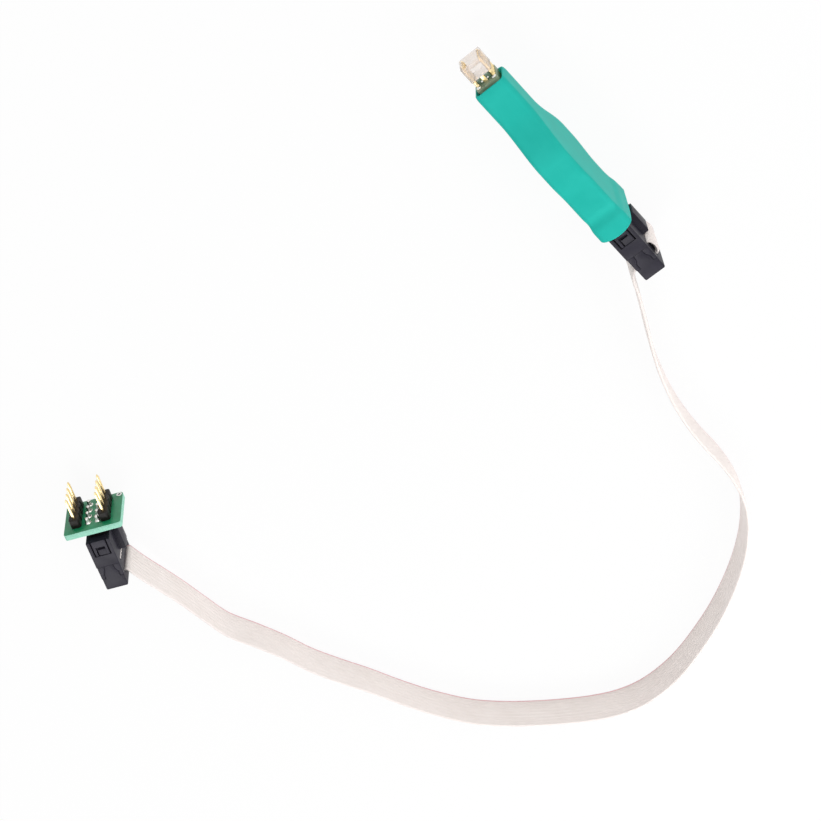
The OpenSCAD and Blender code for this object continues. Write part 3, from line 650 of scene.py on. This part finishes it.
makeGrip(gripSettings, "gripLeft", "grip_shell_left", 1)
makeGrip(gripSettings, "gripRight", "grip_shell_right", -1)
print("grip shells lofted")

# pieces that keep the model's own shape, with their edges rounded: node, body, finish and edge radius in mm
softSettings = {
    "noseBlock": ("nose_block", "probe", "clear_plastic", 0.07),
    "nosePlate": ("nose_plate", "probe", "green_board", 0.05),
    "noseBase": ("nose_base", "probe", "olive_board", 0.06),
    "tailBoard": ("tail_board", "probe", "green_board", 0.05),
    "probeBoard": ("probe_board", "probe", "green_board", 0.05),
    "probeHeader": ("probe_header", "probe", "black_plastic", 0.08),
    "probeHeaderPins": ("probe_header_pins", "probe", "gold", 0.06),
    "probeHeaderSolder": ("probe_header_solder", "probe", "solder", 0.16),
    "probeSocketBody": ("probe_socket_body", "lead", "black_plastic", 0.12),
    "probeSocketContacts": ("probe_socket_contacts", "lead", "gold", 0.04),
    "probeSocketCover": ("probe_socket_cover", "lead", "black_plastic", 0.12),
    "probeStrainRelief": ("probe_strain_relief", "lead", "black_plastic", 0.12),
    "adapterSocketBody": ("adapter_socket_body", "lead", "black_plastic", 0.12),
    "adapterSocketContacts": ("adapter_socket_contacts", "lead", "gold", 0.04),
    "adapterSocketCover": ("adapter_socket_cover", "lead", "black_plastic", 0.12),
    "adapterStrainRelief": ("adapter_strain_relief", "lead", "black_plastic", 0.12),
    "adapterBoard": ("adapter_board", "adapter", "green_board", 0.06),
    "adapterHeader": ("adapter_header", "adapter", "black_plastic", 0.08),
    "adapterHeaderPins": ("adapter_header_pins", "adapter", "gold", 0.08),
    "adapterStripLeft": ("adapter_strip_left", "adapter", "black_plastic", 0.08),
    "adapterStripRight": ("adapter_strip_right", "adapter", "black_plastic", 0.08),
    "adapterPinsLeft": ("adapter_pins_left", "adapter", "gold", 0.07),
    "adapterPinsRight": ("adapter_pins_right", "adapter", "gold", 0.07),
}
edgeSettings = {
    "merge": 1e-6,
    "flatAngle": 1,
    "sharpAngle": 35,
    "segments": 2,
    "facing": 0.5,  # a face looks along a direction where its normal has more than this share of it
    "tongueFrom": 20.0,  # the long board's tongue, ahead of this place, is gold along its edges
    "glueGap": 0.03,  # the clear block stands off its seat by a film of glue
}
boardFacing = {
    "adapterBoard": turned([(1, 0, 0)], socketSettings["adapterTurn"])[0],
    "probeBoard": np.array([0.0, 1.0, 0.0]),
    "tailBoard": np.array([1.0, 0.0, 0.0]),
}
# pieces whose look isn't their slot's own finish, and the further finishes that some faces take
firstLooks = {
    "nosePlate": boardMask("greyMask", "4f6d58", "728c76"),
    "probeHeader": stripBlack,
    "adapterHeader": stripBlack,
    "adapterStripLeft": stripBlack,
    "adapterStripRight": stripBlack,
}
furtherLooks = {"nosePlate": [glueFilm], **dict.fromkeys(boardFacing, [cutEdge, finishes["gold"]])}


def sortFaces(work, name, opt):
    # cut edges of a board, its gold tongue and the glued face of the nose plate get their own finish
    for face in work.faces:
        if name in boardFacing:
            cut = abs(face.normal.dot(Vector(boardFacing[name]))) < opt["facing"]
            plated = name == "probeBoard" and face.calc_center_median().x > opt["tongueFrom"] * mm
            face.material_index = int(cut) + int(cut and plated)
        elif name == "nosePlate":
            face.material_index = int(face.normal.x > opt["facing"])


def liftBlock(work, opt):
    # the rear faces of the clear block move forward by the glue
    rear = {vert for face in work.faces if face.normal.x < -opt["facing"] for vert in face.verts}
    bmesh.ops.translate(work, verts=list(rear), vec=(opt["glueGap"] * mm, 0, 0))


def softened(opt, name, node, body, finish, edge):
    # copy of a solid: doubles merged, flat faces joined, and each sharp edge rounded over
    work = bmesh.new()
    work.from_mesh(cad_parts[node].data)
    bmesh.ops.remove_doubles(work, verts=work.verts, dist=opt["merge"])
    flat = math.radians(opt["flatAngle"])
    bmesh.ops.dissolve_limit(work, angle_limit=flat, verts=work.verts, edges=work.edges)
    sortFaces(work, name, opt)
    if name == "noseBlock":
        liftBlock(work, opt)
    mesh = bpy.data.meshes.new(name)
    work.to_mesh(mesh)
    work.free()
    piece = makePiece(name, mesh, firstLooks.get(name, finishes[finish]), *furtherLooks.get(name, ()))
    bevel = piece.modifiers.new("edges", "BEVEL")
    bevel.width = edge * mm
    bevel.segments = opt["segments"]
    bevel.limit_method = "ANGLE"
    bevel.angle_limit = math.radians(opt["sharpAngle"])
    bevel.harden_normals = True
    return settle(piece, body, finish, node)


soft = {name: softened(edgeSettings, name, *row) for name, row in softSettings.items()}
print("rounded pieces:", len(soft))

# sprung contacts: two rows of four in the nose, with lathed barrels and plungers and coiled springs
contactSettings = {
    "rowY": 2.2,
    "perRow": 4,
    "pitch": 1.27,
    "barrel": [(16.65, 0), (16.65, 0.42), (16.73, 0.5), (18.2, 0.5), (18.3, 0.46), (18.5, 0.46), (18.6, 0.5),
               (28.45, 0.5), (28.52, 0.47), (28.66, 0.47), (28.73, 0.5), (29.57, 0.5), (29.65, 0.44),
               (29.65, 0.37), (29.6, 0.36), (29.25, 0.36), (29.25, 0.4), (17.05, 0.4), (17.05, 0)],
    "plunger": [(28.05, 0), (28.05, 0.34), (28.08, 0.37), (29.12, 0.37), (29.2, 0.33), (33.15, 0.33),
                (33.2, 0.315), (33.5, 0.17), (33.6, 0.11), (33.64, 0.06), (33.65, 0)],
    "springFrom": 17.1,
    "springTo": 28.0,
    "springFoot": 17.05,
    "springRadius": 0.31,
    "wire": 0.05,
    "turns": 34,
    "perTurn": 14,
    "wireSides": 6,
    "travel": 1.5,
    "sides": 28,
    "sharp": 40,
}


def contactPlaces(opt):
    # one row on each side of the middle plane, each centred on the handle's middle line
    k = np.arange(2 * opt["perRow"])
    y = np.where(k < opt["perRow"], opt["rowY"], -opt["rowY"])
    z = handleZ + (k % opt["perRow"] - (opt["perRow"] - 1) / 2) * opt["pitch"]
    return np.stack([np.zeros(len(k)), y, z], axis=1)


def coil(opt):
    # a small circle carried round a helix, with closed ends
    t = np.linspace(0, 1, opt["turns"] * opt["perTurn"] + 1)[:, None]
    a = 2 * math.pi * opt["turns"] * t
    b = np.linspace(0, 2 * math.pi, opt["wireSides"], endpoint=False)[None, :]
    r = opt["springRadius"] + opt["wire"] * np.cos(b)
    x = opt["springFrom"] + (opt["springTo"] - opt["springFrom"]) * t + opt["wire"] * np.sin(b)
    points = np.stack([x, r * np.cos(a), r * np.sin(a)], axis=-1)
    rows, columns = points.shape[:2]
    return points.reshape(-1, 3), gridFaces(rows, columns) + endFaces(rows, columns)


def makeContacts(opt):
    # barrels as one piece; each plunger moves with its own body, and each spring has a mesh of its own
    places = contactPlaces(opt)
    gold = finishes["gold"]
    barrels = makeMesh("contactBarrels", *copies(lathe(opt["barrel"], opt["sides"]), places), gold)
    settle(orient(barrels, opt["sharp"]), "probe", "gold", "contact_barrels")
    for i, place in enumerate(places, 1):
        points, faces = lathe(opt["plunger"], opt["sides"])
        plunger = makeMesh("plungerPin_%d" % i, points + place, faces, gold)
        settle(orient(plunger, opt["sharp"]), "contact_%d" % i, "gold", "plunger_%d" % i)
        points, faces = coil(opt)
        spring = orient(makeMesh("springCoil_%d" % i, points + place, faces, finishes["spring_steel"]))
        settle(spring, "probe", "spring_steel", "plunger_spring_%d" % i)
        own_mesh(spring)
    print("sprung contacts:", len(places))


makeContacts(contactSettings)

# solder: concave cones round the adapter's pins, drops in the nose, and a plated hole in the board's corner
# filled with painted shade
solderSettings = {
    "pitch": 2.54,
    "perRow": 4,
    "headerY": -0.4,
    "stripY": 3.81,
    "back": -1.6,
    "cone": [(0, 0), (0, 0.86), (0.05, 0.85), (0.08, 0.76), (0.2, 0.66), (0.4, 0.58), (0.7, 0.53),
             (1.0, 0.5), (1.3, 0.48), (1.43, 0.4), (1.5, 0.22), (1.52, 0)],
    "ring": [(0.02, 0.36), (0.06, 0.38), (0.07, 0.44), (0.07, 0.68), (0.05, 0.74), (0, 0.76), (0, 0.34),
             (0.02, 0.36)],
    # hole: a thin black disc of painted shade that fills the plated ring
    "hole": [(0.01, 0), (0.01, 0.36), (0.0, 0.36), (0.0, 0)],
    "ringPlace": (0, -6.77, -5.16),
    "drop": [(0, 0), (0, 0.62), (0.08, 0.6), (0.2, 0.5), (0.31, 0.3), (0.36, 0)],
    "dropPlaces": [(28.05, 2.15, 12.5), (28.05, -2.15, 12.5)],
    "bead": [(0, 0), (0, 0.3), (0.07, 0.28), (0.15, 0.19), (0.2, 0)],
    "beadPlaces": [(28.45, 0.8, 11.705), (28.45, -0.8, 11.705)],
    "sides": 24,
}


def pinGrid(opt, rowsY):
    # places of the pins in rows along z, centred on the board
    z = (np.arange(opt["perRow"]) - (opt["perRow"] - 1) / 2) * opt["pitch"]
    return np.array([(0, y, k) for y in rowsY for k in z])


def makeSolder(opt):
    # the same cone on both faces of the board, turned over for the strips' pins
    kinds = ("cone", "drop", "bead", "ring", "hole")
    cone, drop, bead, ring, hole = [lathe(opt[kind], opt["sides"]) for kind in kinds]
    metal = finishes["solder"]
    headerRows = (opt["headerY"] - opt["pitch"] / 2, opt["headerY"] + opt["pitch"] / 2)
    points, faces = copies(cone, pinGrid(opt, headerRows))
    front = makeMesh("adapterHeaderSolder", onAdapter(points), faces, metal)
    settle(orient(front), "adapter", "solder", "adapter_header_solder")
    points, faces = copies(cone, pinGrid(opt, (-opt["stripY"], opt["stripY"])))
    rear = makeMesh("adapterStripSolder", onAdapter(points * (-1, 1, 1) + (opt["back"], 0, 0)), faces, metal)
    settle(orient(rear), "adapter", "solder", "adapter_strip_solder")
    upright = (bead[0][:, [2, 1, 0]], bead[1])
    nose = together(copies(drop, opt["dropPlaces"]), copies(upright, opt["beadPlaces"]))
    settle(orient(makeMesh("noseSolder", *nose, metal)), "probe", "solder", "nose_solder")
    # the via's hole is a black disc of painted shade, not a real hole
    mark = makeMesh("viaHoleShade", onAdapter(hole[0] + opt["ringPlace"]), hole[1], stripBlack)
    via = makeMesh("viaRing", onAdapter(ring[0] + opt["ringPlace"]), ring[1], metal)
    for piece in (mark, via):
        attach(orient(piece), "adapter")
    print("solder joints made")
    return [front, rear, mark, via]


solderPieces = makeSolder(solderSettings)

# the pieces of the far socket and the adapter, gathered in one list
farPieces = [piece for name, piece in soft.items() if name.startswith("adapter")] + solderPieces
farPieces.append(bpy.data.objects["adapterFold"])
tuple(ribbonPath[0] * mm)
ribbonPath * mm

# studio: a white floor that keeps a faint shadow, and three soft lamps: one high beyond the adapter,
# one opposite that fills the ribbon's near faces, and a low one behind the rear socket; sizes in metres
studioSettings = {
    "world": 0.4,
    "floor": 1.6,
    "floorDrop": 0.00005,
    "floorGrey": 0.9,
    "floorWhite": 0.93,
    "lamps": {
        "key": {"place": (-0.4, 0.62, 0.82), "size": 0.6, "watts": 4.2},
        "fill": {"place": (0.45, -0.5, 0.48), "size": 0.8, "watts": 2.7},
        "side": {"place": (-0.4, -0.06, 0.24), "size": 0.4, "watts": 1.0},
    },
}
white = (1, 1, 1, 1)


def makeSky(opt):
    # plain white to the eye, and a share of that as light on the object
    world = bpy.data.worlds.new("studio")
    scene.world = world
    world.use_nodes = True
    sky = Shading(world.node_tree)
    slots = sky.tree.nodes["Background"].inputs
    plug(sky.tree, slots["Color"], white)
    plug(sky.tree, slots["Strength"], opt["world"] + sky.seen() * (1 - opt["world"]))


def makeFloor(opt):
    # a matt grey for light, and mostly white to the eye, so that a little of the shadow shows
    f = Finish("whiteFloor")
    f.set(Base_Color=(*[opt["floorGrey"]] * 3, 1), Roughness=0.9, Specular_IOR_Level=0.0)
    glow = f.add("Emission", Color=white, Strength=1.0)
    mix = f.add("MixShader", Fac=f.seen() * opt["floorWhite"])
    slots = mix.socket.node.inputs
    plug(f.tree, slots[1], Wire(f.tree, f.shader.outputs[0]))
    plug(f.tree, slots[2], glow)
    plug(f.tree, f.tree.nodes["Material Output"].inputs["Surface"], mix)
    corners = np.array([(-1, -1, 0), (1, -1, 0), (1, 1, 0), (-1, 1, 0)]) * opt["floor"]
    floor = makeMesh("floor", (corners - (0, 0, opt["floorDrop"])) / mm, [[0, 1, 2, 3]], f.material)


def makeLamp(name, place, size, watts):
    # a round lamp that faces the origin
    data = bpy.data.lights.new(name, "AREA")
    data.shape = "DISK"
    data.size = size
    data.energy = watts
    light = bpy.data.objects.new(name, data)
    place = Vector(place)
    light.matrix_world = Matrix.LocRotScale(place, (-place).to_track_quat("-Z", "Y"), None)
    scene.collection.objects.link(light)


makeSky(studioSettings)
makeFloor(studioSettings)
for name, lamp in studioSettings["lamps"].items():
    makeLamp(name, **lamp)
print("studio lit")
